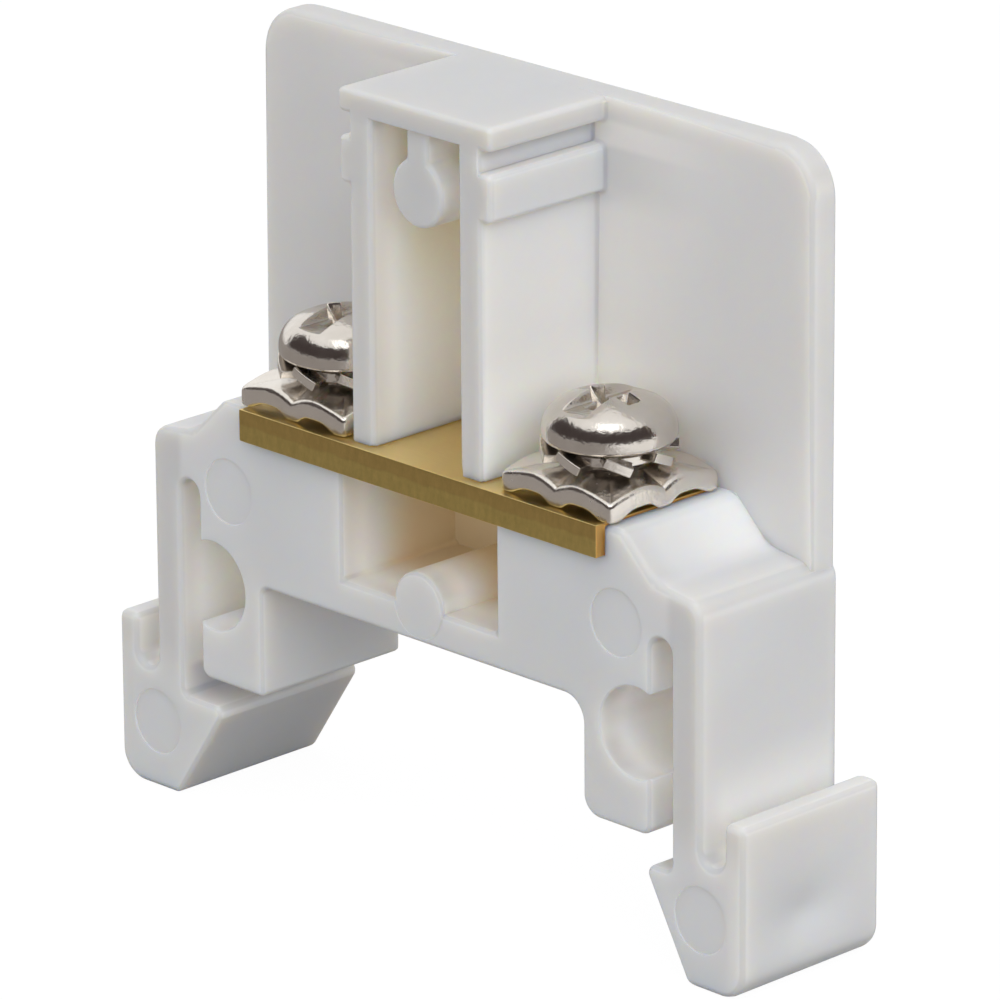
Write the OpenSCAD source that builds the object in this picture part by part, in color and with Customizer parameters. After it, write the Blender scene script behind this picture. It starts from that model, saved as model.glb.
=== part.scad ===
// Rail-mounted barrier terminal block, one pole: a moulded housing with a tall rear barrier,
// a brass bar, and two screws with tooth and wave washers.
// The part stands on its feet with X along the bar, -Y to the open front and +Z up.

/* [Rail fit] */
// Width of the mounting rail that the legs grip
rail_w = 35; // [30:0.5:40]
// Thickness of the rail's lip
rail_t = 1; // [0.8:0.1:1.4]
// Gap between each leg and the edge of the rail
rail_side_gap = 0.15; // [0.05:0.05:0.4]
// Gap between the rail's lip and the hook under it
rail_lip_gap = 0.45; // [0.1:0.05:0.8]

/* [Housing] */
// Depth of the moulding from its front plane to its back
housing_d = 9.8; // [8:0.1:14]
// Height of the moulding above the rail
housing_h = 33.9; // [30:0.5:45]
// Thickness of the rear barrier plate
plate_t = 1.8; // [1:0.1:2.5]
// Width of the rear barrier plate
plate_w = 38.9; // [34:0.1:39]
// Radius of the plate's top corners
plate_r = 2.6; // [1:0.1:5]
// Height of the bar's seat above the rail
bar_seat_h = 13.85; // [12:0.1:16]
// Height of the arch between the stub feet
arch_h = 6; // [4.5:0.1:7]
// Wall of each stub foot between the arch and its window
stub_wall = 1.24; // [0.8:0.02:2]
// Fillet in the arch's left corner
arch_r_left = 0.5; // [0.2:0.1:1.5]
// Fillet in the arch's right corner
arch_r_right = 1.3; // [0.2:0.1:2]
// Radius of the right stub foot's inner heel
heel_r = 1.1; // [0.3:0.1:1.5]
// Radius of the stub feet's outer toes
toe_r = 0.6; // [0.2:0.1:1]
// Distance of the lips' outer edges from the middle
lip_x = 14.3; // [13.9:0.1:14.6]
// Drop of the lips below the bar's top
lip_drop = 0.1; // [0.05:0.05:0.3]
// Run of the slope below each lip
slope_run = 2.2; // [1.5:0.1:2.6]
// Drop of the slope below each lip
slope_drop = 2.15; // [1.5:0.1:3]
// Fall of the shoulder above each leg, in degrees
shoulder_fall = 8; // [2:1:15]
// Radius of the shoulder's outer corner
shoulder_r = 1.1; // [0.4:0.1:1.5]

/* [Spring legs] */
// Thickness of each leg
leg_t = 2; // [1.4:0.1:2.6]
// Width of the slot that frees each leg
slot_w = 1.45; // [1:0.05:2]
// Height of the slot's top above the rail
slot_h = 10.5; // [9:0.1:11]
// Radius of the round window beside each slot
window_r = 2.4; // [1.8:0.1:2.6]
// Gap between the window and the leg beside it
window_gap = 0.06; // [0.04:0.02:0.3]
// Height of the window's centre above the rail
window_h = 5.2; // [4.5:0.1:6]
// Reach of the left hook under the rail
hook_reach_left = 3.2; // [2:0.1:4]
// Reach of the right hook under the rail
hook_reach_right = 1.95; // [1.5:0.1:3]
// Radius of each hook's tip
hook_tip_r = 0.45; // [0.2:0.05:0.6]
// Depth of the feet below the rail's seat
foot_drop = 7.1; // [6:0.1:9]
// Run of the left hook's ramp behind the leg's inner face
ramp_run_left = 0.55; // [0.2:0.05:1.2]
// Run of the right hook's ramp behind the leg's inner face
ramp_run_right = 1.15; // [0.2:0.05:1.4]
// Width of the notch between leg and lever
notch_w = 1.5; // [1:0.1:2]
// Depth of the notch below the rail's seat
notch_drop = 0.5; // [0:0.1:2]
// Thickness of each release lever
lever_t = 1.4; // [1:0.1:2]
// Height of the levers' tops above the rail's seat
lever_h = 2.1; // [1:0.1:4]
// Radius of the levers' outer bottom corners
lever_r = 1.6; // [0.5:0.1:2]

/* [Pocket and marks] */
// Width of the pocket under the bar
pocket_w = 11.05; // [8:0.05:12]
// Thickness of the beam between the pocket and the arch
beam_t = 1.9; // [1.4:0.1:3]
// Radius of the push pads in the pocket and the tower
pad_r = 1.8; // [1.2:0.1:2]
// Radius of the round push marks on the front
mark_r = 1.75; // [1:0.05:1.8]
// Depth of the round push marks
mark_depth = 0.08; // [0.05:0.01:0.3]
// Distance of the upper push marks from the middle
mark_x = 13.9; // [13.4:0.1:14.2]
// Height of the upper push marks above the rail
mark_h = 10.6; // [10:0.1:11]
// Drop of the lower push marks below the rail's seat
foot_mark_drop = 3.4; // [3:0.1:4]

/* [Tower] */
// Width of the tower over its side walls
tower_w = 9.36; // [8:0.02:10]
// Thickness of the tower's side walls
tower_wall = 1.6; // [1.2:0.1:2]
// Thickness of the tower's cap
cap_t = 1.25; // [1:0.05:2]
// Overhang of the cap past each side wall
cap_over = 0.72; // [0.4:0.02:0.8]
// Height of the marker groove below the cap
groove_h = 1.2; // [0.8:0.1:1.5]
// Depth of the marker groove into the side wall
groove_depth = 0.18; // [0.1:0.02:0.3]
// Height of the band below the marker groove
band_h = 2.45; // [1.5:0.05:3.5]
// Overhang of the band past each side wall
band_over = 0.66; // [0.4:0.02:0.8]
// Radius of the cap's and the band's edges
rib_r = 0.3; // [0.1:0.05:0.3]
// Drop of the tower's push pad below the cap
pad_drop = 3.2; // [2.8:0.05:4]
// Width of the neck that carries the tower's push pad
neck_w = 1.56; // [1:0.02:2.4]
// Recess of the tower's push pad behind the front plane
pad_recess = 0.2; // [0.1:0.05:0.5]

/* [Conductor bar] */
// Length of the bar
bar_l = 25.5; // [24:0.1:26]
// Offset of the bar and its screws towards the right end
bar_shift = 0.35; // [0:0.05:0.4]
// Thickness of the bar
bar_t = 1.7; // [1:0.1:2.4]
// Stand of the bar in front of the housing's front plane
bar_proud = 0.55; // [0.2:0.05:1]
// Gap between the bar and the plastic round it
bar_gap = 0.05; // [0.02:0.01:0.1]

/* [Screws] */
// Distance between the two screws
screw_span = 18.8; // [18.4:0.1:19.2]
// Distance of the screws behind the front plane
screw_back = 3.8; // [3.7:0.05:4]
// Outer diameter of the screw's thread
thread_d = 3.5; // [3:0.1:4]
// Length of the screw below its head
screw_l = 8; // [7:0.1:8.5]
// Gap round the thread in its hole
thread_gap = 0.05; // [0.02:0.01:0.1]
// Gap round the screw in the moulded well
well_gap = 0.35; // [0.2:0.05:0.6]
// Gap below the screw's end in the moulded well
well_floor_gap = 1; // [0.5:0.1:1.5]
// Diameter of the screw's head
head_d = 6.8; // [6:0.1:7]
// Height of the screw's head
head_h = 2.5; // [2.4:0.05:2.8]
// Radius of the head's crown
crown_r = 5.5; // [5:0.1:7]
// Radius of the head's rounded shoulder
head_edge_r = 1.5; // [1.2:0.1:1.6]
// Radius of the head's lower edge
head_under_r = 0.35; // [0.2:0.05:0.4]
// Width of the driver slot across the head
driver_slot_w = 1.6; // [1:0.05:1.8]
// Depth of the driver slot below the crown
driver_slot_depth = 0.7; // [0.5:0.05:1.2]
// Width of the cross recess over its wings
cross_w = 4.2; // [2.5:0.1:4.4]
// Thickness of the cross recess's wings
cross_wing = 0.9; // [0.6:0.05:1.1]
// Depth of the cross recess
cross_depth = 1.7; // [1.3:0.05:1.8]

/* [Washers] */
// Side of the square wave washer
square_w = 7.7; // [7:0.1:8]
// Thickness of the square wave washer
square_t = 1; // [0.6:0.05:1.2]
// Height of the waves pressed into the square washer
wave_h = 0.4; // [0.2:0.05:0.6]
// Rise of the square washer from its edge to its hole
dish_h = 0.65; // [0.2:0.05:0.7]
// Outer diameter of the tooth washer
lock_d = 6.9; // [6:0.1:7]
// Thickness of the tooth washer's sheet
lock_t = 0.5; // [0.4:0.05:0.6]
// Outer diameter of the tooth washer's ring
lock_ring_d = 5.2; // [4.8:0.1:5.6]
// Width of each twisted tooth
tooth_w = 1.5; // [1.2:0.05:1.7]
// Twist of each tooth, in degrees
tooth_twist = 24; // [18:1:36]
// Turn of the tooth washer about the screw, in degrees
lock_turn = 7; // [0:1:44]
// Gap round the screw in both washers
washer_gap = 0.2; // [0.1:0.05:0.3]
// Gap between the stacked washers, the bar and the head
stack_gap = 0.02; // [0.01:0.01:0.05]

/* [Hidden] */

$fn = 64;
over = 0.5;            // how far a cutting shape runs past what it cuts
LEFT = -1;
RIGHT = 1;
TEETH = 8;             // teeth round the tooth washer
WAVES = 8;             // waves round the square washer
WAVE_STEPS = 96;       // facets round the square washer
WAVE_RINGS = 4;        // facets from the square washer's hole to its edge
CORNER_POWER = 40;     // higher gives the square washer sharper corners

// Depths: the box over bar and housing is centred on Y
back_y = (housing_d + bar_proud) / 2;
front_y = back_y - housing_d;
plate_y = back_y - plate_t;
screw_y = front_y + screw_back;

// Heights above the feet
seat_z = foot_drop;
hook_z = seat_z - rail_t - rail_lip_gap;
notch_z = seat_z - notch_drop;
lever_z = seat_z + lever_h;
arch_z = seat_z + arch_h;
beam_z = arch_z + beam_t;
bar_z = seat_z + bar_seat_h;
bar_top_z = bar_z + bar_t;
lip_z = bar_top_z - lip_drop;
slope_z = lip_z - slope_drop;
top_z = seat_z + housing_h;
cap_z = top_z - cap_t;
groove_z = cap_z - groove_h;
band_z = groove_z - band_h;
tower_z = bar_top_z + bar_gap;
pad_z = cap_z - pad_drop;
square_z = bar_top_z + stack_gap;
lock_h = tooth_w * sin(tooth_twist) + lock_t * cos(tooth_twist);
lock_z = square_z + square_t + max(wave_h, dish_h) + stack_gap;
head_z = lock_z + lock_h + stack_gap;
well_z = head_z - screw_l - well_floor_gap;

// Half widths
leg_in = rail_w / 2 + rail_side_gap;
leg_out = leg_in + leg_t;
notch_r = notch_w / 2;
lever_in = leg_out + notch_w;
lever_out = lever_in + lever_t;
slot_in = leg_in - slot_w;
window_x = leg_in - window_gap - window_r;
stub_in = window_x - window_r - stub_wall;
bar_half = bar_l / 2 + bar_gap;
slope_end = lip_x + slope_run;
shoulder_z = slope_z - (leg_out - slope_end) * tan(shoulder_fall);
tower_out = tower_w / 2;
tower_in = tower_out - tower_wall;
thread_r = thread_d / 2;
head_r = head_d / 2;

// Place along the bar of the screw on a side
function screw_at(side) = bar_shift + side * screw_span / 2;

// Extrudes an outline drawn in X and Z through the depth from y to y + d
module slab(y, d) {
    translate([0, y + d, 0])
        rotate([90, 0, 0])
            linear_extrude(d)
                children();
}

// The sliver between a corner at p, whose sides leave at angles a and b, and a tangent arc:
// taken away it rounds an outer corner, added it fills an inner one
module corner(p, a, b, r) {
    half = (b - a) / 2;
    middle = [cos((a + b) / 2), sin((a + b) / 2)];
    reach = r / tan(half);
    centre = p + middle * r / sin(half);
    difference() {
        polygon([p + reach * [cos(a), sin(a)], centre, p + reach * [cos(b), sin(b)], p - middle * r]);
        translate(centre) circle(r);
    }
}

// One half of the body's outline, to the right of the middle
module half_outline(hook_reach, ramp_run, arch_r, heel) {
    tip = [leg_in - hook_reach, hook_z];
    ramp = [leg_in + ramp_run, 0];
    ramp_angle = 360 - atan2(tip[1], ramp[0] - tip[0]);
    difference() {
        union() {
            polygon([[0, arch_z], [leg_out, arch_z], [leg_out, shoulder_z], [slope_end, slope_z],
                     [lip_x, lip_z], [0, lip_z]]);
            translate([stub_in, seat_z]) square([slot_in - stub_in, arch_h + over]);
            polygon([[leg_in, arch_z + over], [leg_out, arch_z + over], [leg_out, notch_z + notch_r],
                     [lever_in, notch_z + notch_r], [lever_in, lever_z], [lever_out, lever_z],
                     [lever_out, 0], ramp, tip, [leg_in, hook_z]]);
            corner([stub_in, arch_z], 180, 270, arch_r);
            corner([leg_in, hook_z], 90, 180, hook_tip_r);
        }
        translate([slot_in, arch_z - over]) square([slot_w, slot_h - slot_w / 2 - arch_h + over]);
        translate([slot_in + slot_w / 2, seat_z + slot_h - slot_w / 2]) circle(slot_w / 2);
        translate([leg_out + notch_r, notch_z + notch_r]) circle(notch_r);
        translate([window_x, seat_z + window_h]) circle(window_r);
        corner([leg_out, shoulder_z], 180 - shoulder_fall, 270, shoulder_r);
        corner([stub_in, seat_z], 0, 90, heel);
        corner([slot_in, seat_z], 90, 180, toe_r);
        corner([lever_out, 0], 90, 180, lever_r);
        corner(tip, ramp_angle, 360, hook_tip_r);
    }
}

// The rear barrier plate's outline
module plate_outline() {
    half = plate_w / 2;
    difference() {
        translate([-half, bar_z - bar_t]) square([plate_w, top_z - bar_z + bar_t]);
        corner([half, top_z], 180, 270, plate_r);
        corner([-half, top_z], 270, 360, plate_r);
    }
}

// A rib across the tower, from z to z + h, with rounded ends
module rib(z, h, over_side) {
    half = tower_out + over_side;
    difference() {
        translate([-half, z]) square([2 * half, h]);
        for (low = [z, z + h]) {
            up = low == z ? 0 : 270;
            corner([-half, low], up, up + 90, rib_r);
            corner([half, low], up == 0 ? 90 : 180, up == 0 ? 180 : 270, rib_r);
        }
    }
}

// The tower's outline: side walls, cap, marker groove and band round an open channel
module tower_outline() {
    difference() {
        union() {
            translate([-tower_out, tower_z]) square([tower_w, top_z - tower_z]);
            rib(cap_z, cap_t, cap_over);
            rib(band_z, band_h, band_over);
        }
        translate([-tower_in, tower_z - over]) square([2 * tower_in, cap_z - tower_z + over]);
        for (side = [LEFT, RIGHT])
            translate([side * tower_out - groove_depth, groove_z]) square([2 * groove_depth, groove_h]);
    }
}

// The push pad that hangs from the tower's cap by its neck
module hanging_pad_outline() {
    translate([0, pad_z]) circle(pad_r);
    translate([-neck_w / 2, pad_z]) square([neck_w, pad_drop + over]);
}

module housing() {
    color("WhiteSmoke")
    difference() {
        union() {
            slab(front_y, housing_d) {
                half_outline(hook_reach_right, ramp_run_right, arch_r_right, heel_r);
                mirror([1, 0]) half_outline(hook_reach_left, ramp_run_left, arch_r_left, toe_r / 2);
            }
            slab(plate_y, plate_t) plate_outline();
            slab(front_y, housing_d - plate_t + over) tower_outline();
            slab(front_y + pad_recess, housing_d - plate_t - pad_recess + over) hanging_pad_outline();
        }
        slab(front_y - over, housing_d - plate_t + over)
            translate([bar_shift - bar_half, bar_z]) square([2 * bar_half, bar_t]);
        difference() {
            slab(front_y - over, housing_d - plate_t + over)
                translate([-pocket_w / 2, beam_z]) square([pocket_w, bar_z - beam_z + over]);
            slab(front_y - over, housing_d)
                translate([0, beam_z]) circle(pad_r);
        }
        for (side = [LEFT, RIGHT]) {
            translate([screw_at(side), screw_y, well_z])
                cylinder(r = thread_r + well_gap, h = bar_z - well_z + over);
            for (mark = [[mark_x, seat_z + mark_h], [leg_out, seat_z - foot_mark_drop]])
                slab(front_y - over, mark_depth + over)
                    translate([side * mark[0], mark[1]]) circle(mark_r);
        }
    }
}

module conductor_bar() {
    color("Goldenrod")
    difference() {
        translate([bar_shift - bar_l / 2, front_y - bar_proud, bar_z])
            cube([bar_l, bar_proud + housing_d - plate_t - bar_gap, bar_t]);
        for (side = [LEFT, RIGHT])
            translate([screw_at(side), screw_y, bar_z - over])
                cylinder(r = thread_r + thread_gap, h = bar_t + 2 * over);
    }
}

// Half the section of the screw's head: a crown arc and a smaller shoulder arc, tangent to each other,
// above a rounded lower edge
module head_section() {
    crown_z = head_h - crown_r;
    shoulder_x = head_r - head_edge_r;
    edge_z = crown_z + sqrt(pow(crown_r - head_edge_r, 2) - pow(shoulder_x, 2));
    meet_x = shoulder_x * crown_r / (crown_r - head_edge_r);
    difference() {
        square([head_r, edge_z]);
        corner([head_r, 0], 90, 180, head_under_r);
    }
    intersection() {
        square([meet_x, head_h]);
        translate([0, crown_z]) circle(crown_r);
    }
    intersection() {
        translate([0, edge_z]) square([head_r, head_h - edge_z]);
        translate([shoulder_x, edge_z]) circle(head_edge_r);
    }
}

// A wing of the cross recess, wide at the crown and narrow at its floor
module cross_wing_cut() {
    rotate([90, 0, 0])
        translate([0, 0, -cross_wing / 2])
            linear_extrude(cross_wing)
                polygon([[-cross_w / 2, head_h], [cross_w / 2, head_h],
                         [cross_wing / 2, head_h - cross_depth], [-cross_wing / 2, head_h - cross_depth]]);
}

module terminal_screw(side) {
    chamfer = thread_d / 8;
    color("Silver")
    translate([screw_at(side), screw_y, head_z]) {
        difference() {
            rotate_extrude() head_section();
            translate([-driver_slot_w / 2, -head_d, head_h - driver_slot_depth])
                cube([driver_slot_w, 2 * head_d, head_h]);
            for (turn = [0, 90])
                rotate(turn) cross_wing_cut();
        }
        translate([0, 0, chamfer - screw_l])
            cylinder(r = thread_r, h = screw_l - chamfer + over);
        translate([0, 0, -screw_l])
            cylinder(r1 = thread_r - chamfer, r2 = thread_r, h = chamfer);
    }
}

module lock_washer(side) {
    hole_r = thread_r + washer_gap;
    ring_r = lock_ring_d / 2;
    color("LightGray")
    translate([screw_at(side), screw_y, lock_z + lock_h / 2])
        difference() {
            union() {
                translate([0, 0, -lock_t / 2]) cylinder(r = ring_r, h = lock_t);
                intersection() {
                    for (tooth = [0 : TEETH - 1])
                        rotate(lock_turn + tooth * 360 / TEETH)
                            rotate([-tooth_twist, 0, 0])
                                translate([hole_r, -tooth_w / 2, -lock_t / 2])
                                    cube([lock_d / 2, tooth_w, lock_t]);
                    translate([0, 0, -lock_h]) cylinder(d = lock_d, h = 2 * lock_h);
                }
            }
            translate([0, 0, -lock_h]) cylinder(r = hole_r + lock_t / 2, h = 2 * lock_h);
        }
}

// Distance from the middle to the square washer's edge at an angle: a square with softened corners
function square_edge(angle) =
    square_w / 2 / pow(pow(abs(cos(angle)), CORNER_POWER) + pow(abs(sin(angle)), CORNER_POWER),
                       1 / CORNER_POWER);

// Underside of the square washer at an angle, at a share of the way out from its hole to its edge:
// a dish that rises to the hole, with valleys at the corners and half way along the sides and bumps between
function wave_z(angle, share) = dish_h * (1 - share) + share * wave_h / 2 * (1 - cos(WAVES * angle));

// A ring of points at a share of the way out, on the under or upper face
function wave_ring(hole_r, share, lift) =
    [for (step = [0 : WAVE_STEPS - 1])
        let (angle = step * 360 / WAVE_STEPS, r = hole_r + share * (square_edge(angle) - hole_r))
            [r * cos(angle), r * sin(angle), wave_z(angle, share) + lift]];

// The rings run out along the underside and back along the top, and close on themselves
module square_washer(side) {
    hole_r = thread_r + washer_gap;
    shares = [for (ring = [0 : WAVE_RINGS]) ring / WAVE_RINGS];
    rings = concat([for (share = shares) wave_ring(hole_r, share, 0)],
                   [for (ring = [WAVE_RINGS : -1 : 0]) wave_ring(hole_r, shares[ring], square_t)]);
    points = [for (ring = rings) each ring];
    faces = [for (ring = [0 : len(rings) - 1])
                for (step = [0 : WAVE_STEPS - 1])
                    let (next_ring = (ring + 1) % len(rings), next_step = (step + 1) % WAVE_STEPS,
                         a = ring * WAVE_STEPS + step, b = ring * WAVE_STEPS + next_step,
                         c = next_ring * WAVE_STEPS + next_step, d = next_ring * WAVE_STEPS + step)
                        each [[a, b, c], [a, c, d]]];
    color("Gainsboro")
    translate([screw_at(side), screw_y, square_z])
        polyhedron(points, faces);
}

housing();
conductor_bar();
terminal_screw(LEFT);  // terminal_screw_left
lock_washer(LEFT);  // lock_washer_left
square_washer(LEFT);  // square_washer_left
terminal_screw(RIGHT);  // terminal_screw_right
lock_washer(RIGHT);  // lock_washer_right
square_washer(RIGHT);  // square_washer_right
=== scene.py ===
"""One pole of a rail-mounted barrier terminal block: a moulded white housing with sprung hook legs,
a brass bar, and two plated screws with tooth washers and square wave washers.

Shapes and the places on them are given in millimetres, and MM brings them to the scene's metres."""

import math

import bmesh
import bpy
import numpy as np
from mathutils import Matrix, Vector


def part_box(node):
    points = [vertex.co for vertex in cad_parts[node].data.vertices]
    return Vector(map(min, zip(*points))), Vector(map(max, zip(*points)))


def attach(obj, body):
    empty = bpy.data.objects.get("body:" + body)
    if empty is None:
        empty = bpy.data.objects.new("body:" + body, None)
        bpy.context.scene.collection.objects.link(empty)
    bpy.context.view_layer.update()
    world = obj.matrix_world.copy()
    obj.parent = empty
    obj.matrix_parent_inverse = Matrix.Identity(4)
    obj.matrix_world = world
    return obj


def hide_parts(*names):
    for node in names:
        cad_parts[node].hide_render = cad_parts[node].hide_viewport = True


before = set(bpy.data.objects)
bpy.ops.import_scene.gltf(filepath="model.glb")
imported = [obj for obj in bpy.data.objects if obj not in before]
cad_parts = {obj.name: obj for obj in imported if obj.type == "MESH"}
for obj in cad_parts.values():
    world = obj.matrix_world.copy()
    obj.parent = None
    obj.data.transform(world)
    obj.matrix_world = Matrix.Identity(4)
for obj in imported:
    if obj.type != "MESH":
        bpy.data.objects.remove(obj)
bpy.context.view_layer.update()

MM = 0.001
SIDES = ("left", "right")


def box_mm(node):
    """The lowest and the highest corner of a CAD node, in millimetres."""
    return [[value / MM for value in corner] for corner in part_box(node)]


HOUSING_LOW, HOUSING_HIGH = box_mm("housing")
BAR_LOW, BAR_HIGH = box_mm("conductor_bar")
FRONT, BACK, TOP = HOUSING_LOW[1], HOUSING_HIGH[1], HOUSING_HIGH[2]
PLATE_THICK = 1.8

# Middles of the push marks, across and up, the height of the pocket's pad, and the levers' sinks
PUSH_MARKS = ((13.9, 17.7), (19.65, 3.7))
PAD_Z = 15.0
SINK_Z, SINK_HALF_Y, SINK_HALF_Z = 3.7, 2.2, 1.4


# Shader wiring

class Wire:
    """One output socket in a tree of nodes. Operators on values add Math nodes to the tree."""

    def __init__(self, tree, socket=None):
        self.tree, self.socket = tree, socket

    def node(self, kind, settings=None, sockets=None, out=0):
        """Adds a node: its settings first, then its sockets' values or links; gives one output."""
        made = self.tree.nodes.new(kind)
        for name, value in (settings or {}).items():
            setattr(made, name, value)
        for name, value in (sockets or {}).items():
            if isinstance(value, Wire):
                self.tree.links.new(value.socket, made.inputs[name])
            else:
                made.inputs[name].default_value = value
        return Wire(self.tree, made.outputs[out] if made.outputs else None)

    def math(self, operation, *values):
        return self.node("ShaderNodeMath", {"operation": operation}, dict(enumerate(values)))

    def __add__(self, other):
        return self.math("ADD", self, other)

    def __sub__(self, other):
        return self.math("SUBTRACT", self, other)

    def __rsub__(self, other):
        return self.math("SUBTRACT", other, self)

    def __mul__(self, other):
        return self.math("MULTIPLY", self, other)

    def __truediv__(self, other):
        return self.math("DIVIDE", self, other)

    def __pow__(self, other):
        return self.math("POWER", self, other)

    def __abs__(self):
        return self.math("ABSOLUTE", self)

    __radd__, __rmul__ = __add__, __mul__

    def most(self, *others):
        """The greatest of this value and others."""
        greatest = self
        for other in others:
            greatest = self.math("MAXIMUM", greatest, other)
        return greatest

    def step(self, low, high):
        """Goes smoothly from 0 at low to 1 at high, and low may be the larger of the two."""
        return self.node("ShaderNodeMapRange", {"interpolation_type": "SMOOTHSTEP"},
                         {"Value": self, "From Min": low, "From Max": high})

    def within(self, low, high, ease=0.2):
        """1 from low to high, eased by an amount to either side of both."""
        return self.step(low - ease, low + ease) * self.step(high + ease, high - ease)

    def parts(self):
        """The three values of a vector."""
        split = self.node("ShaderNodeSeparateXYZ", None, {0: self}).socket.node
        return [Wire(self.tree, socket) for socket in split.outputs]

    def stretched(self, scale):
        """A vector scaled by an amount for each axis, so that a pattern runs along one of them."""
        return self.node("ShaderNodeVectorMath", {"operation": "MULTIPLY"}, {0: self, 1: scale})

    def noise(self, size, detail=2.0, rough=0.5):
        """Noise at a place, whose blotches are about size millimetres across."""
        return self.node("ShaderNodeTexNoise", None, {
            "Vector": self, "Scale": 1.0 / (size * MM), "Detail": detail, "Roughness": rough})

    def blend(self, share, low, high):
        """A colour from low to high by share."""
        return self.node("ShaderNodeMix", {"data_type": "RGBA"}, {0: share, 6: low, 7: high}, out=2)

    def bump(self, height, depth):
        """A normal bent by a height, where 1 stands depth millimetres proud."""
        return self.node("ShaderNodeBump", None,
                         {"Strength": 1.0, "Distance": depth * MM, "Height": height})

    def principled(self, sockets):
        """The usual shader with these sockets."""
        return self.node("ShaderNodeBsdfPrincipled", None, sockets)

    def mixed(self, share, first, second):
        """A shader from a first to a second by share."""
        return self.node("ShaderNodeMixShader", None, {0: share, 1: first, 2: second})

    def place(self):
        """The place on the piece, in its own axes."""
        return self.node("ShaderNodeTexCoord", out="Object")

    def facing(self):
        """How far the surface faces along each axis of the piece, whichever way round."""
        return [abs(part) for part in self.node("ShaderNodeTexCoord", out="Normal").parts()]


def finish_of(name, build):
    """A material whose shader build(wire) wires up."""
    material = bpy.data.materials.new(name)
    material.use_nodes = True
    material.node_tree.nodes.clear()
    wire = Wire(material.node_tree)
    wire.node("ShaderNodeOutputMaterial", None, {"Surface": build(wire)})
    return material


# Finishes

PLASTIC_LOW, PLASTIC_HIGH = (0.670, 0.670, 0.668, 1.0), (0.695, 0.696, 0.696, 1.0)
# Painted shade that greys edges and fronts, and painted light that lightens corners, slopes and slots
PLASTIC_SHADE, PLASTIC_LIT = (0.590, 0.591, 0.592, 1.0), (0.970, 0.955, 0.925, 1.0)
# Painted light for the hollows, lighter and warmer than the outside, and tan painted shade deep in
# the pocket under the bar
HOLLOW_LIGHT_FRONT, HOLLOW_LIGHT_DEEP = (0.985, 0.968, 0.955, 1.0), (0.990, 0.925, 0.880, 1.0)
CHANNEL_LIGHT_DEEP, POCKET_SHADE_DEEP = (0.990, 0.855, 0.715, 1.0), (0.880, 0.735, 0.500, 1.0)
CLOUD_SIZE, FLOW_SIZE = 9.0, 1.6
RELIEF_DEPTH, PAD_MARK_SHARE = 0.38, 0.19
PLASTIC_IOR = 1.53
LIGHT_INSIDE = {"Subsurface Weight": 1.0, "Subsurface Scale": 2.4 * MM,
                "Subsurface Radius": (1.0, 0.76, 0.46)}


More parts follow.
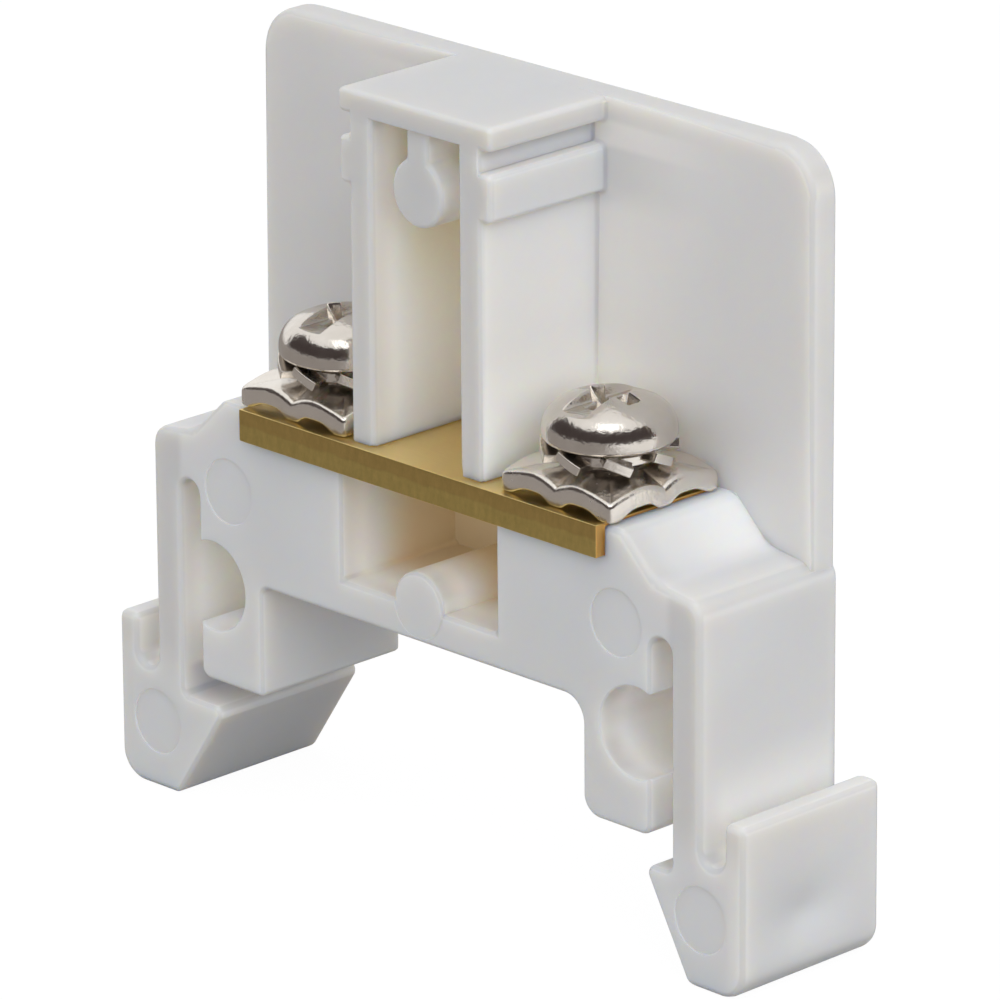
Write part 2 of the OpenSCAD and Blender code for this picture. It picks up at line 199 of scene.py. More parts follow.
def moulded_plastic(wire):
    """Unfilled white polyamide: cloudy in thick places, and lighter and warmer in its hollows,
    painted light that stands in for light passed through the walls, with tan painted shade deep in
    the pocket under the bar. Painted light also lightens the corners beside the tower, the shoulders'
    slopes and the levers' slots, and painted shade greys its edges, the tower's top and some fronts.
    Its gloss is uneven with the flow. What x, y, z, side and depth are compared with is a place on
    the moulding in millimetres."""
    place = wire.place()
    x, y, z = (part / MM for part in place.parts())
    side, depth = abs(x), y - FRONT
    facing = wire.facing()
    cloud = place.noise(CLOUD_SIZE, 1.0)
    flow = place.stretched((1.0, 1.0, 0.25)).noise(FLOW_SIZE, 1.0)
    inward = depth.step(0.1, 2.0) * y.step(5.0, 4.4)
    before_plate = y.step(4.2, 3.6)

    # Painted light in the hollows: the tower's channel, the pocket under the bar and the windows
    # beside the legs are lighter and warmer, as if lit through the walls, and the pocket's back under
    # the bar is tan painted shade
    channel = side.step(3.3, 3.1) * z.within(22.5, 40.0) * before_plate
    pocket = side.step(5.8, 5.6) * z.within(14.9, 21.1) * before_plate
    windows = side.within(12.7, 17.8) * z.within(7.2, 17.8)
    hollow = inward * (channel + pocket + windows)
    deep = wire.blend(channel * z.step(26.0, 38.0), HOLLOW_LIGHT_DEEP, CHANNEL_LIGHT_DEEP)
    inside = wire.blend(depth.step(0.4, 4.2), HOLLOW_LIGHT_FRONT, deep)
    hollow_light_and_shade = wire.blend(pocket * y.step(-2.6, 1.0), inside, POCKET_SHADE_DEEP)

    # Painted shade: edges other than the rims of the push marks, the tower's top, and fronts are
    # greyer
    squarely = facing[0].most(facing[1], facing[2])
    marked = [((side - across) ** 2.0 + (z - up) ** 2.0).step(3.8, 3.4) for across, up in PUSH_MARKS]
    unmarked = 1.0 - (marked[0] + marked[1]) * depth.step(0.25, 0.15)
    above = z.step(39.0, 39.5) * facing[2].step(0.5, 0.9).most(y.step(3.3, 3.0))
    legs = side.step(17.2, 17.8) * z.step(6.0, 9.0)
    fronts = 0.85 * depth.step(0.4, 0.2) * (z.step(22.2, 23.0) + legs)
    painted_shade = (squarely.step(0.99, 0.86) * unmarked).most(above, fronts)

    # Painted light: the corners beside the tower, the shoulders' slopes and the levers' slots are
    # lighter, where shade would fall
    corners = (side.step(4.6, 4.7) * side.step(14.0, 5.5) * z.within(22.5, 40.2) * before_plate
               * (0.30 + 0.70 * z.step(30.0, 24.0)) * (z.step(37.0, 35.0) + z.within(38.5, 39.8)))
    slopes = (side.step(12.5, 13.3) * side.step(17.8, 16.2) * z.within(19.8, 23.2, 0.5) * inward
              * facing[2].step(0.2, 0.5) * (0.25 + 0.45 * y.step(-4.0, 3.0)))
    slots = (side.within(19.3, 21.1, 0.1) * z.within(4.8, 9.8, 2.5) * inward
             * (0.45 + 0.55 * side.step(19.5, 19.8)))

    outside = wire.blend(cloud.step(0.35, 0.65), PLASTIC_LOW, PLASTIC_HIGH)
    outside = wire.blend(painted_shade, outside, PLASTIC_SHADE)
    outside = wire.blend(corners + slopes + slots, outside, PLASTIC_LIT)

    # Relief: the levers' sinks look deeper, and the pocket's pad has a push mark
    spread = 1.0 + (y / SINK_HALF_Y) ** 2.0 + ((z - SINK_Z) / SINK_HALF_Z) ** 2.0
    sink = side.step(21.4, 22.2) / spread
    pad_mark = (x * x + (z - PAD_Z) ** 2.0).step(3.1, 2.7) * depth.step(0.3, 0.2)

    skin = {"Base Color": wire.blend(hollow, outside, hollow_light_and_shade), "IOR": PLASTIC_IOR,
            "Roughness": 0.36 + 0.12 * flow + 0.05 * cloud,
            "Normal": wire.bump(1.0 - sink - PAD_MARK_SHARE * pad_mark, RELIEF_DEPTH)}
    clear, opaque = wire.principled({**skin, **LIGHT_INSIDE}), wire.principled(skin)
    return wire.mixed(pocket * y.step(-1.0, 2.0), clear, opaque)


BRASS_FLAT = (0.93, 0.68, 0.24, 1.0), (1.00, 0.80, 0.35, 1.0)
BRASS_BURNISHED = (0.48, 0.33, 0.105, 1.0), (0.74, 0.53, 0.185, 1.0)
BRASS_TORN = (0.58, 0.45, 0.15, 1.0), (0.88, 0.69, 0.26, 1.0)
BRASS_END = (0.82, 0.48, 0.15, 1.0)
BRASS_RELIEF = 0.012


def rolled_brass(wire):
    """Brass strip: fine rolling lines on the flats, a burnished and a torn zone on the sheared
    edges, and redder ends."""
    place = wire.place()
    height = (place.parts()[2] / MM - BAR_LOW[2]) / (BAR_HIGH[2] - BAR_LOW[2])
    facing = wire.facing()
    edge, ends = facing[2].step(0.75, 0.45), facing[0].step(0.6, 0.85)
    lines = place.stretched((0.03, 1.0, 1.0)).noise(0.09, 3.0, 0.65)
    stain = place.noise(3.5, 3.0)
    tear = place.stretched((1.0, 1.0, 0.45)).noise(0.35, 4.0, 0.7)
    torn = (height + 0.25 * place.stretched((1.0, 1.0, 0.0)).noise(1.2)).step(0.72, 0.6)
    flat = wire.blend(lines * 0.6 + stain * 0.4, *BRASS_FLAT)
    sheared = wire.blend(torn, wire.blend(tear, *BRASS_BURNISHED), wire.blend(tear, *BRASS_TORN))
    relief = lines * (1.0 - edge) + tear * edge * (0.4 + 2.0 * torn)
    return wire.principled({
        "Base Color": wire.blend(edge, flat, wire.blend(ends, sheared, BRASS_END)),
        "Metallic": 1.0, "Normal": wire.bump(relief, BRASS_RELIEF),
        "Roughness": 0.25 + 0.12 * lines + edge * (1.0 - ends) * (0.12 + 0.2 * torn)})


NICKEL_RELIEF = 0.015


def nickel_plate(low, high, rough):
    """Nickel on pressed steel: warm grey between two colours, softly uneven and grained."""

    def build(wire):
        place = wire.place()
        cloud, peel = place.noise(1.1), place.noise(0.32, 1.0)
        grain = place.stretched((1.0, 0.6, 1.0)).noise(0.14, 2.0, 0.6)
        return wire.principled({
            "Base Color": wire.blend(cloud, low, high), "Metallic": 1.0,
            "Roughness": rough + 0.10 * cloud + 0.06 * grain,
            "Normal": wire.bump(peel + grain * 0.8, NICKEL_RELIEF)})

    return build


plastic = finish_of("moulded white plastic", moulded_plastic)
brass = finish_of("rolled brass", rolled_brass)
bright_nickel = finish_of("bright nickel", nickel_plate(
    (0.64, 0.59, 0.53, 1.0), (0.79, 0.745, 0.69, 1.0), rough=0.08))
satin_nickel = finish_of("satin nickel", nickel_plate(
    (0.75, 0.695, 0.625, 1.0), (0.89, 0.845, 0.785, 1.0), rough=0.17))


# Meshes

SAME_POINT, SLIVER, ON_PLANE = 1e-6, 1e-7, 1e-7
FLAT_ANGLE = 0.002


def grid_quads(rows, columns):
    """Quads of a grid of points, rows by columns, that closes on itself along its columns."""
    row, column = np.meshgrid(np.arange(rows - 1), np.arange(columns), indexing="ij")
    after = (column + 1) % columns
    return np.stack([row * columns + column, row * columns + after,
                     (row + 1) * columns + after, (row + 1) * columns + column], -1).reshape(-1, 4)


def new_piece(name, mesh, body, node, finish):
    """Puts a mesh into the scene with its finish, to ride on a body in a CAD node's place."""
    piece = bpy.data.objects.new(name, mesh)
    bpy.context.scene.collection.objects.link(piece)
    mesh.materials.clear()
    mesh.materials.append(finish)
    mesh.polygons.foreach_set("use_smooth", np.ones(len(mesh.polygons), bool))
    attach(piece, body)
    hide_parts(node)
    return piece


def surface_mesh(name, points, faces):
    """A mesh from points in millimetres and faces, turned outwards by the sign of its volume."""
    points = np.asarray(points) * MM
    first, second, third = (points[[face[corner] for face in faces]] for corner in range(3))
    if np.einsum("ij,ij->", first, np.cross(second, third)) < 0:
        faces = [face[::-1] for face in faces]
    mesh = bpy.data.meshes.new(name)
    mesh.from_pydata(points.tolist(), [], faces)
    mesh.validate()
    return mesh


def merge(mesh, reach):
    """Merges the points of a mesh that lie within a reach of each other, in metres."""
    work = bmesh.new()
    work.from_mesh(mesh)
    bmesh.ops.remove_doubles(work, verts=work.verts, dist=reach)
    work.to_mesh(mesh)
    work.free()


def node_copy(node, name):
    """A copy of a CAD node's mesh with its loose triangles merged."""
    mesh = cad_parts[node].data.copy()
    mesh.name = name
    merge(mesh, SAME_POINT)
    return mesh


def once(items):
    """A list of items without repeats, in order."""
    return list(dict.fromkeys(items))


def join_flat(work, faces):
    """Joins those of some faces that lie in one plane beside each other."""
    seams = once(edge for face in faces for edge in face.edges
                 if edge.calc_face_angle(1.0) < FLAT_ANGLE)
    bmesh.ops.dissolve_edges(work, edges=seams, use_verts=False)


def cut(work, faces, axis, at):
    """Cuts some faces by the plane at a place along an axis, in metres."""
    across = Vector([float(axis == each) for each in range(3)])
    edges = once(edge for face in faces for edge in face.edges)
    points = once(point for face in faces for point in face.verts)
    bmesh.ops.bisect_plane(work, geom=[*faces, *edges, *points], plane_co=across * at,
                           plane_no=across, dist=ON_PLANE)


def edge_facts(mesh):
    """For each edge: its middle in millimetres and the angle between its two faces in degrees."""
    count = len(mesh.edges)
    ends = np.empty(count * 2, int)
    mesh.edges.foreach_get("vertices", ends)
    places = np.empty(len(mesh.vertices) * 3)
    mesh.vertices.foreach_get("co", places)
    middle = places.reshape(-1, 3)[ends.reshape(-1, 2)].mean(1) / MM
    normals = np.empty(len(mesh.polygons) * 3)
    mesh.polygons.foreach_get("normal", normals)
    normals = normals.reshape(-1, 3)
    sizes = np.empty(len(mesh.polygons), int)
    mesh.polygons.foreach_get("loop_total", sizes)
    used = np.empty(len(mesh.loops), int)
    mesh.loops.foreach_get("edge_index", used)
    order = np.argsort(used, kind="stable")
    starts = np.searchsorted(used[order], np.arange(count))
    face = np.repeat(np.arange(len(sizes)), sizes)[order]
    cosine = np.einsum("ij,ij->i", normals[face[starts]], normals[face[starts + 1]])
    return middle, np.degrees(np.arccos(np.clip(cosine, -1.0, 1.0)))


FLAT_LEAN, STRIP_LEAN = math.cos(math.radians(32)), math.cos(math.radians(50))


def fair_normals(mesh, strip):
    """Corner normals that keep flat faces flat: at each corner the area-weighted mean of the faces
    there that lean less than 32 degrees away and aren't bevel strips, or of the strips within 50
    degrees where there is none."""
    corners, faces = len(mesh.loops), len(mesh.polygons)
    points, sizes = np.empty(corners, int), np.empty(faces, int)
    normals, areas = np.empty(faces * 3), np.empty(faces)
    mesh.loops.foreach_get("vertex_index", points)
    for name, values in (("loop_total", sizes), ("normal", normals), ("area", areas)):
        mesh.polygons.foreach_get(name, values)
    normals = normals.reshape(-1, 3)
    face = np.repeat(np.arange(faces), sizes)
    order = np.argsort(points, kind="stable")
    many = np.bincount(points)[points]
    one = np.repeat(np.arange(corners), many)
    start = np.searchsorted(points[order], points) - np.cumsum(many) + many
    other = face[order[np.arange(len(one)) + np.repeat(start, many)]]
    cosine = np.einsum("ij,ij->i", normals[face[one]], normals[other])
    sums = []
    for fits in (~strip[other] & (cosine > FLAT_LEAN), strip[other] & (cosine > STRIP_LEAN)):
        share = np.where(fits, areas[other], 0.0)
        sums.append(np.stack([np.bincount(one, share * normals[other, axis], corners)
                              for axis in range(3)], 1))
    made = np.where(np.linalg.norm(sums[0], axis=1)[:, None] > 0.0, sums[0], sums[1])
    mesh.normals_split_custom_set((made / np.linalg.norm(made, axis=1)[:, None]).tolist())


def round_edges(piece, widths, segments=3, shape=None):
    """Bevels each edge to its own width in millimetres, which widths finds from its middle and its
    angle, lets shape(mesh) work on the flats that are left, and evens the normals."""
    mesh = piece.data
    wide = widths(*edge_facts(mesh))
    weights = mesh.attributes.new("bevel_weight_edge", "FLOAT", "EDGE")
    weights.data.foreach_set("value", (wide / wide.max()).astype(np.float32))
    mesh.materials.append(mesh.materials[0])
    bevel = piece.modifiers.new("rounded edges", "BEVEL")
    bevel.limit_method = "WEIGHT"
    bevel.width = wide.max() * MM
    bevel.segments = segments
    bevel.profile = 0.5
    bevel.use_clamp_overlap = False
    bevel.loop_slide = False
    bevel.material = 1
    shown = piece.evaluated_get(bpy.context.evaluated_depsgraph_get())
    rounded = bpy.data.meshes.new_from_object(shown)
    rounded.name = piece.name
    merge(rounded, SLIVER)
    if shape:
        shape(rounded)
    strip = np.empty(len(rounded.polygons), np.int32)
    rounded.polygons.foreach_get("material_index", strip)
    fair_normals(rounded, strip == 1)
    rounded.polygons.foreach_set("material_index", np.zeros(len(strip), np.int32))
    rounded.materials.pop(index=1)
    piece.modifiers.clear()
    piece.data = rounded


def one_width(sharp, width):
    """Widths for round_edges: the same for all edges sharper than an angle in degrees."""
    return lambda middle, angle: np.where(angle > sharp, width, 0.0)


# Housing

SHOULDER_X, SHOULDER_Z, SHOULDER_GAP = 12.5, 20.0, 0.06
WINDOW_X, WINDOW_Z, WINDOW_R = 15.19, 12.3, 2.4
VALLEY_X, VALLEY_Z, VALLEY_WIDTH = 16.44, 20.4, 0.9
WELL_R = 2.3
LEVER_SINK, SINK_CELLS = 0.25, 24


def housing_widths(middle, angle):
    """How far each edge of the moulding is rounded, the same all along one outline. A later zone
    goes over an earlier one."""
    x, y, z = np.abs(middle[:, 0]), middle[:, 1], middle[:, 2]
    before_plate = y < BACK - PLATE_THICK - 0.05
    seat = (z > BAR_LOW[2] - 0.02) & (z < BAR_HIGH[2] + 0.1) & (y < BACK - PLATE_THICK + 0.1)
    on_plate = np.abs(y - BACK + PLATE_THICK) < 0.02
    valley = (np.hypot(x - VALLEY_X, z - VALLEY_Z) < 0.2) & (angle > 25.0)
    wide = np.where((x > 17.9) | (z > 18.2), 0.42, 0.27)

    lips = (x > 12.2) & (x < 13.6) & (z > 21.9)
    tower = (x < 5.6) & (z > BAR_HIGH[2])
    groove = (x > 4.4) & (x < 4.72) & (z > TOP - 2.6) & (z < TOP - 1.3) & before_plate
    marks = [(np.hypot(x - across, z - up) < 1.8) & (y < FRONT + 0.2) for across, up in PUSH_MARKS]
    tower_foot = seat & (x < 5.6) & (z > BAR_HIGH[2] - 0.05)
    pad_sides = (x < 2.1) & (np.abs(z - PAD_Z) < 0.15) & (y > FRONT + 0.3)
    under_cap = (x < 3.2) & (np.abs(z - TOP + 1.25) < 0.1) & before_plate
    windows = np.abs(np.hypot(x - WINDOW_X, z - WINDOW_Z) - WINDOW_R) < 0.06
    plate_joins = on_plate & ((z < 23.0) | ((x < 5.5) & (z > TOP - 0.4)))
    wells = np.zeros(len(x), bool)
    for side in SIDES:
        low, high = box_mm("terminal_screw_" + side)
        out = np.hypot(middle[:, 0] - (low[0] + high[0]) / 2, y - (low[1] + high[1]) / 2)
        wells |= (out < WELL_R) & (z < BAR_LOW[2] + 0.1) & (z > 10.0)
    in_gap = np.abs(y - BACK + PLATE_THICK + SHOULDER_GAP / 2) < SHOULDER_GAP / 2
    shoulder_ends = (x > SHOULDER_X) & (z > SHOULDER_Z) & in_gap

    for zone, width in ((lips, 0.2), (tower, 0.26), (groove, 0.06), (marks[0] | marks[1], 0.035),
                        (seat & (x < 13.3), 0.05), (tower_foot, 0.0), (pad_sides, 0.0),
                        (under_cap, 0.07), (windows, 0.1), (plate_joins, 0.0), (wells, 0.0),
                        (valley, VALLEY_WIDTH), (shoulder_ends, 0.0)):
        wide[zone] = width
    return np.where((angle > 40.0) | valley, wide, 0.0)


def cut_shoulders(mesh):
    """Joins the flat faces of the two shoulders and cuts them just before the plate, where their
    rounding stops."""
    work = bmesh.new()
    work.from_mesh(mesh)

    def shoulders():
        found = []
        for face in work.faces:
            middle = face.calc_center_median() / MM
            if abs(face.normal.y) < 0.01 and abs(middle.x) > SHOULDER_X and middle.z > SHOULDER_Z:
                found.append(face)
        return found

    join_flat(work, shoulders())
    cut(work, shoulders(), 1, (BACK - PLATE_THICK - SHOULDER_GAP) * MM)
    work.to_mesh(mesh)
    work.free()


def sink_levers(mesh):
    """Dishes the outer flat of each lever, where thick plastic shrank. With u and v from -1 to 1
    along its y and z, it is lowered by
    LEVER_SINK (1 - u^4) (1 - v^4) / (1 + (y / SINK_HALF_Y)^2 + ((z - SINK_Z) / SINK_HALF_Z)^2)."""
    work = bmesh.new()
    work.from_mesh(mesh)
    for sign, reach in ((-1, -HOUSING_LOW[0]), (1, HOUSING_HIGH[0])):

        def flat():
            return [face for face in work.faces if face.normal.x * sign > 0.9999
                    and face.calc_center_median().x * sign > (reach - 0.01) * MM]

        join_flat(work, flat())
        places = np.array([point.co[:] for face in flat() for point in face.verts])
        start, end = places.min(0), places.max(0)
        for axis in (1, 2):
            for at in np.linspace(start[axis], end[axis], SINK_CELLS + 1)[1:-1]:
                cut(work, flat(), axis, at)
        for point in once(point for face in flat() for point in face.verts):
            u, v = ((2.0 * point.co[axis] - start[axis] - end[axis]) / (end[axis] - start[axis])
                    for axis in (1, 2))
            y, z = point.co.y / MM, point.co.z / MM
            spread = 1.0 + (y / SINK_HALF_Y) ** 2 + ((z - SINK_Z) / SINK_HALF_Z) ** 2
            point.co.x -= sign * MM * LEVER_SINK * (1.0 - u ** 4) * (1.0 - v ** 4) / spread
    work.to_mesh(mesh)
    work.free()


housing = new_piece("housing_moulding", node_copy("housing", "housing_moulding"),
                    "block", "housing", plastic)
cut_shoulders(housing.data)
round_edges(housing, housing_widths, shape=sink_levers)

bar = new_piece("brass_bar", node_copy("conductor_bar", "brass_bar"),
                "block", "conductor_bar", brass)
round_edges(bar, one_width(sharp=40.0, width=0.07))


# Screws and washers

HEAD_H, CROWN_R, HEAD_EDGE_R, HEAD_UNDER_R = 2.5, 5.5, 1.5, 0.35
SLOT_HALF, SLOT_DEPTH, WING_REACH, WING_HALF, CROSS_DEPTH = 0.8, 0.7, 2.1, 0.45, 1.7
THREAD_R, SCREW_PITCH, THREAD_DEPTH = 1.75, 0.6, 0.32
CUT_EASE = -0.05, 0.07
SCREW_COLUMNS, WASHER_COLUMNS = 280, 512
WASHER_HOLE_R, WASHER_WAVE, WASHER_DISH = 1.95, 0.4, 0.65
WASHER_EASE, WASHER_ROLL, WASHER_POWER = 0.12, 0.30, 26


def arc(centre, radius, start, end, count):
    """Points of an arc from one angle to another, in degrees, as a count by 2 array."""
    turn = np.radians(np.linspace(start, end, count))
    return np.stack([centre[0] + radius * np.cos(turn), centre[1] + radius * np.sin(turn)], 1)


def rise(value, low, high):
    """0 below low, 1 above high, and a smooth cubic between."""
    share = np.clip((value - low) / (high - low), 0.0, 1.0)
    return share * share * (3.0 - 2.0 * share)


def screw_profile(head_r, length):
    """The screw's outline as points (r, z), z = 0 under the head: crown arc, shoulder arc, side,
    rounded lower edge, underside, shank and chamfered end. The last number of a run is its count."""
    crown_z = HEAD_H - CROWN_R
    shoulder_r = head_r - HEAD_EDGE_R
    edge_z = crown_z + math.sqrt((CROWN_R - HEAD_EDGE_R) ** 2 - shoulder_r ** 2)
    meet = math.degrees(math.atan2(edge_z - crown_z, shoulder_r))
    under_r = head_r - HEAD_UNDER_R
    return np.concatenate([
        arc((0.0, crown_z), CROWN_R, 89.95, meet, 76),
        arc((shoulder_r, edge_z), HEAD_EDGE_R, meet, 0.0, 26)[1:],
        np.linspace((head_r, edge_z), (head_r, HEAD_UNDER_R), 4)[1:],
        arc((under_r, HEAD_UNDER_R), HEAD_UNDER_R, 0.0, -90.0, 16)[1:],
        np.linspace((under_r, 0.0), (THREAD_R, 0.0), 5)[1:],
        np.linspace((THREAD_R, -0.02), (THREAD_R, 0.4 - length), 104),
        np.linspace((THREAD_R - 0.05, 0.35 - length), (THREAD_R - 0.42, -length), 4),
        [(0.02, -length)]])


def screw_points(head_r, length, columns):
    """The screw as its profile turned about its axis, point (r cos t, r sin t, z). The crown is
    lowered to the floor of the slot and of the crossed wings, and the shank's radius follows a
    triangle wave of z / pitch - t / 2 pi."""
    profile = screw_profile(head_r, length)
    turn = np.linspace(0.0, 2.0 * np.pi, columns, endpoint=False)
    r = np.repeat(profile[:, :1], columns, 1)
    z = np.repeat(profile[:, 1:], columns, 1)
    phase = np.mod(z / SCREW_PITCH - turn / (2.0 * np.pi), 1.0)
    shank = rise(-z, 0.5, 1.0) * (z < 0.0) * (r > 1.0) * rise(z, -length, 0.7 - length)
    r = r - shank * THREAD_DEPTH * np.clip(1.25 - 2.5 * np.abs(phase - 0.5), 0.0, 1.0)
    x, y = r * np.cos(turn), r * np.sin(turn)

    def wing(along, beside):
        """Cut of a wing of the cross, full near the axis and running out to nothing at its tips."""
        share = np.clip((WING_REACH - np.abs(along)) / (WING_REACH - WING_HALF), 0.0, 1.0)
        over = np.maximum(z - (HEAD_H - CROSS_DEPTH * share), 0.0)
        return rise(WING_HALF - np.abs(beside), *CUT_EASE) * over

    slot = rise(SLOT_HALF - np.abs(x), *CUT_EASE) * np.maximum(z - (HEAD_H - SLOT_DEPTH), 0.0)
    lowered = np.maximum(slot, np.maximum(wing(x, y), wing(y, x)))
    return np.stack([x, y, z - np.where(z > 0.5, lowered, 0.0)], -1)


def screw_mesh(name, node):
    """The plated screw's closed surface, in the place and to the size of its CAD node."""
    low, high = np.array(box_mm(node))
    middle = (low + high) / 2
    head_z = high[2] - HEAD_H
    points = screw_points((high[0] - low[0]) / 2, head_z - low[2], SCREW_COLUMNS)
    rows, ring = len(points), np.arange(SCREW_COLUMNS)
    points = points.reshape(-1, 3) + [middle[0], middle[1], head_z]
    faces = grid_quads(rows, SCREW_COLUMNS).tolist()
    faces += [ring[::-1].tolist(), ((rows - 1) * SCREW_COLUMNS + ring).tolist()]
    return surface_mesh(name, points, faces)


def square_washer_mesh(name, node):
    """The square wave washer: a rounded bar section carried round the hole at angle t, its outer
    run on the superellipse |x|^26 + |y|^26 = (side / 2)^26. It rises by a dish towards the hole, and
    towards its edge its top follows |sin 4t|^0.9 and its underside the smooth arch of |sin 4t|, so
    that it dips at corners and mid sides."""
    low, high = np.array(box_mm(node))
    thick = high[2] - low[2] - WASHER_DISH
    ease, roll = WASHER_EASE, WASHER_ROLL

    # The section, from its lower outer corner up, in along the top, down the hole and out below
    bend = np.radians(np.linspace(0.0, 90.0, 6))
    run = np.linspace(0.0, 1.0, 14)[1:-1]
    still = np.zeros(len(run))
    share = np.concatenate([np.ones(12), run[::-1], np.zeros(12), run])[:, None]
    reach = np.concatenate([ease * np.sin(bend), roll * np.cos(bend), still,
                            -ease * np.sin(bend), -ease * np.cos(bend), still])[:, None]
    inset = np.repeat([ease, roll, roll, ease, ease], [6, 6, 12, 12, 12])[:, None]
    up = np.concatenate([ease - ease * np.cos(bend), thick - roll + roll * np.sin(bend),
                         still + thick, thick - ease + ease * np.cos(bend),
                         ease - ease * np.sin(bend), still])[:, None]

    turn = np.linspace(0.0, 2.0 * np.pi, WASHER_COLUMNS, endpoint=False)
    square = np.abs(np.cos(turn)) ** WASHER_POWER + np.abs(np.sin(turn)) ** WASHER_POWER
    edge = (high[0] - low[0]) / 2 / square ** (1 / WASHER_POWER)
    inner = WASHER_HOLE_R + ease
    r = inner + share * (edge - inset - inner) + reach
    ripple = np.abs(np.sin(4.0 * turn))
    top, under = ripple ** 0.9, rise(ripple, 0.3, 1.0)
    wave = WASHER_WAVE * share * (under + (top - under) * up / thick)
    z = low[2] + up + WASHER_DISH * (1.0 - share) + wave
    middle = (low + high) / 2
    points = np.stack([middle[0] + r * np.cos(turn), middle[1] + r * np.sin(turn), z], -1)

    ring = np.arange(WASHER_COLUMNS)
    after, last = (ring + 1) % WASHER_COLUMNS, (len(share) - 1) * WASHER_COLUMNS
    closing = np.stack([last + ring, last + after, after, ring], -1)
    faces = np.concatenate([grid_quads(len(share), WASHER_COLUMNS), closing])
    return surface_mesh(name, points.reshape(-1, 3), faces.tolist())


for side in SIDES:
    new_piece("screw_" + side, screw_mesh("screw_" + side, "terminal_screw_" + side),
              side + "_screw", "terminal_screw_" + side, bright_nickel)
    new_piece("wave_washer_" + side,
              square_washer_mesh("wave_washer_" + side, "square_washer_" + side),
              side + "_washers", "square_washer_" + side, satin_nickel)
    teeth = new_piece("tooth_washer_" + side,
                      node_copy("lock_washer_" + side, "tooth_washer_" + side),
                      side + "_washers", "lock_washer_" + side, satin_nickel)
    round_edges(teeth, one_width(sharp=25.0, width=0.05), segments=2)


# Studio, in metres

LIGHT_TINT = (0.98, 0.99, 1.01)
AMBIENT_STRENGTH = 0.72
FLOOR_HALF, FLOOR_Z = 3.0, -1e-5
PAPER_LOW, PAPER_HIGH, PAPER_BLOTCH_MM = (0.42, 0.42, 0.42, 1.0), (0.45, 0.45, 0.45, 1.0), 20.0
FLOOR_GLOW, FLOOR_GLOW_SHARE = 1.12, 0.86
# The floor's glow as seen directly and as metal mirrors it: painted shade towards the unlit left
LIT_FLOOR, UNLIT_FLOOR = (1.0, 1.0, 1.0, 1.0), (0.29, 0.265, 0.25, 1.0)
UNLIT_FROM, UNLIT_TO = 0.09, -0.03
# A dark sheet round the object stands in for the unlit room's shade in the metal's reflections
ROOM_R, ROOM_SPAN_Z, ROOM_TURN = 0.45, (0.03, 0.47), (-165.0, 35.0)
ROOM_COLOUR = (0.080, 0.062, 0.060, 1.0)
LAMP_AIM = Vector((0.0, 0.0, 0.02))


def stage_piece(name, points, faces, finish):
    """A mesh from points in metres that isn't part of the object."""
    mesh = bpy.data.meshes.new(name)
    mesh.from_pydata(points, [], faces)
    mesh.materials.append(finish)
    piece = bpy.data.objects.new(name, mesh)
    bpy.context.scene.collection.objects.link(piece)
    return piece


def seen_directly(wire):
    """1 for rays from the camera, off metal or through clear material, and 0 for bounced light."""
    camera, glossy, through = (wire.node("ShaderNodeLightPath", out=name) for name in (
        "Is Camera Ray", "Is Glossy Ray", "Is Transmission Ray"))
    return camera.most(glossy, through)


def pale_floor(wire):
    """A pale floor that looks white but keeps a soft shadow. Metal mirrors it greyer towards its
    unlit left side, painted shade that only reflections show."""
    place = wire.place()
    x, y, _ = place.parts()
    paper = wire.node("ShaderNodeBsdfDiffuse", None, {
        "Color": wire.blend(place.noise(PAPER_BLOTCH_MM), PAPER_LOW, PAPER_HIGH)})
    unlit = (x + y).step(UNLIT_FROM, UNLIT_TO) * wire.node("ShaderNodeLightPath", out="Is Glossy Ray")
    glow = wire.node("ShaderNodeEmission", None, {
        "Color": wire.blend(unlit, LIT_FLOOR, UNLIT_FLOOR), "Strength": FLOOR_GLOW})
    return wire.mixed(seen_directly(wire) * FLOOR_GLOW_SHARE, paper, glow)


def studio_world():
    """Soft light from all round, which looks white where it is seen directly."""
    world = bpy.data.worlds.new("studio")
    world.use_nodes = True
    world.node_tree.nodes.clear()
    sky = Wire(world.node_tree)
    ambient = sky.node("ShaderNodeBackground", None, {
        "Color": (*LIGHT_TINT, 1.0), "Strength": AMBIENT_STRENGTH})
    white = sky.node("ShaderNodeBackground", None, {
        "Color": (1.0, 1.0, 1.0, 1.0), "Strength": 1.0})
    sky.node("ShaderNodeOutputWorld", None, {
        "Surface": sky.mixed(seen_directly(sky), ambient, white)})
    bpy.context.scene.world = world


def soft_lamp(name, place, size, watts):
    """A square lamp that faces the object's middle."""
    lamp = bpy.data.lights.new(name, "AREA")
    lamp.size, lamp.energy, lamp.color = size, watts, LIGHT_TINT
    holder = bpy.data.objects.new(name, lamp)
    holder.location = place
    holder.rotation_euler = (LAMP_AIM - Vector(place)).to_track_quat("-Z", "Y").to_euler()
    bpy.context.scene.collection.objects.link(holder)
    return holder


def dark_room(wire):
    """Painted shade: the dull dark colour of the sheet that stands in for the unlit room."""
    return wire.principled({"Base Color": ROOM_COLOUR, "Roughness": 1.0})


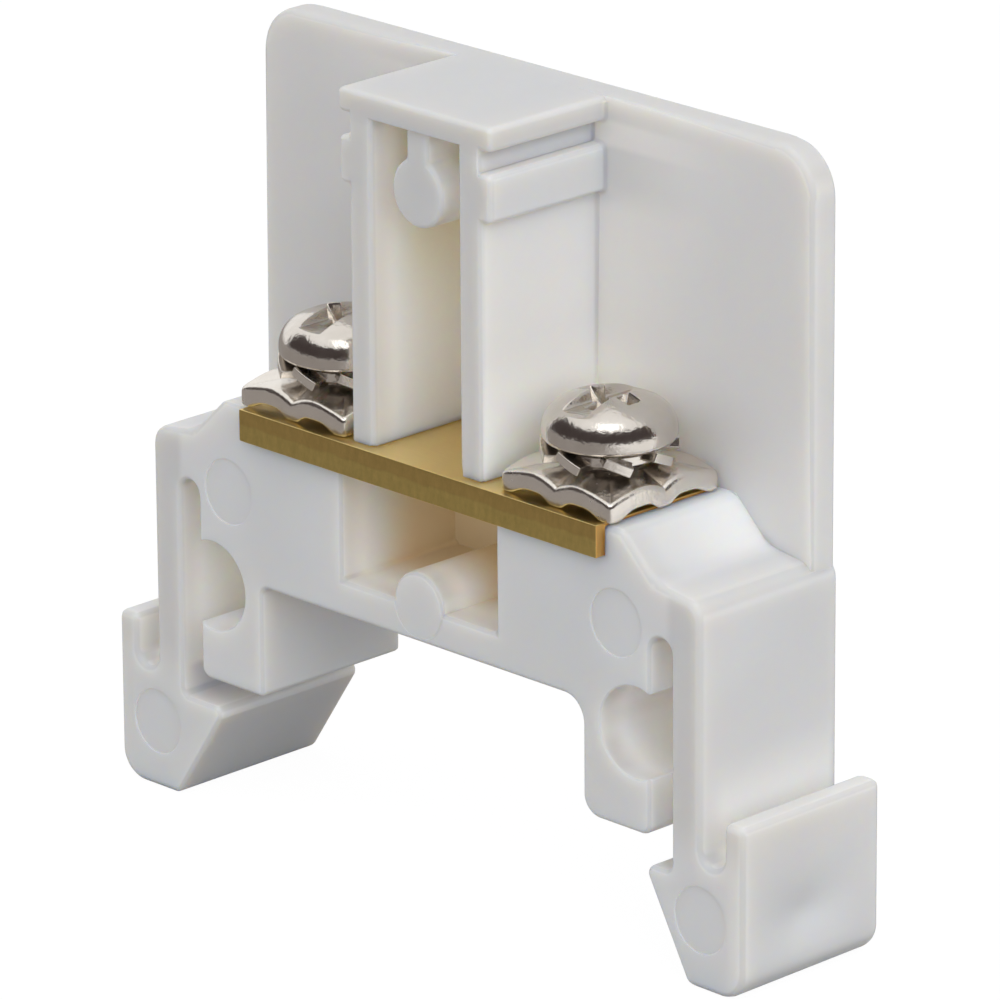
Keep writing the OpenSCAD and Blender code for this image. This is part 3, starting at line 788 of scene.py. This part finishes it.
def room_wall():
    """A dark sheet as painted shade for the unlit room beyond the floor: part of a cylinder of
    radius R round the object, point (R cos t, R sin t, z), from the viewer's far left to the right,
    that only the metal mirrors."""
    steps = 40
    turn = np.radians(np.linspace(*ROOM_TURN, steps + 1))
    ring = np.stack([ROOM_R * np.cos(turn), ROOM_R * np.sin(turn)], 1).tolist()
    points = [(x, y, z) for z in ROOM_SPAN_Z for x, y in ring]
    faces = [(i, i + 1, i + steps + 2, i + steps + 1) for i in range(steps)]
    wall = stage_piece("dark room", points, faces, finish_of("dark room", dark_room))
    wall.visible_camera = wall.visible_diffuse = False
    wall.visible_transmission = wall.visible_shadow = False


stage_piece("floor", [(x * FLOOR_HALF, y * FLOOR_HALF, FLOOR_Z)
                      for x, y in ((-1, -1), (1, -1), (1, 1), (-1, 1))],
            [(0, 1, 2, 3)], finish_of("pale floor", pale_floor))
studio_world()
soft_lamp("top light", (0.149, -0.149, 0.473), size=0.25, watts=0.20)
soft_lamp("right light", (0.398, -0.211, 0.280), size=0.50, watts=1.40).visible_glossy = False
soft_lamp("left light", (-0.270, -0.385, 0.191), size=0.40, watts=0.22).visible_glossy = False
room_wall()


# Camera

CAMERA_ANGLES = (45.585, 19.198, -0.404)
CAMERA_DISTANCE, CAMERA_TARGET = 0.41534, Vector((0.0018297, -0.000625, 0.0201082))
FOCAL_PIXELS, FRAME_PIXELS, SENSOR_MM = 8315.8, 1000.0, 36.0


def photo_camera():
    """The photograph's view: azimuth, elevation and roll in degrees, a distance in metres from the
    target, and the focal length in pixels of the frame."""
    azimuth, elevation, roll = (math.radians(angle) for angle in CAMERA_ANGLES)
    ahead = Vector((-math.sin(azimuth) * math.cos(elevation),
                    math.cos(azimuth) * math.cos(elevation), -math.sin(elevation)))
    level = Vector((math.cos(azimuth), math.sin(azimuth), 0.0))
    upright = level.cross(ahead)
    right = math.cos(roll) * level + math.sin(roll) * upright
    up = math.cos(roll) * upright - math.sin(roll) * level
    lens = bpy.data.cameras.new("photo camera")
    lens.sensor_width = SENSOR_MM
    lens.lens = FOCAL_PIXELS * SENSOR_MM / FRAME_PIXELS
    camera = bpy.data.objects.new("photo camera", lens)
    bpy.context.scene.collection.objects.link(camera)
    turned = Matrix((right, up, -ahead)).transposed().to_4x4()
    camera.matrix_world = Matrix.Translation(CAMERA_TARGET - ahead * CAMERA_DISTANCE) @ turned
    bpy.context.scene.camera = camera


photo_camera()
bpy.context.scene.view_settings.view_transform = "Standard"
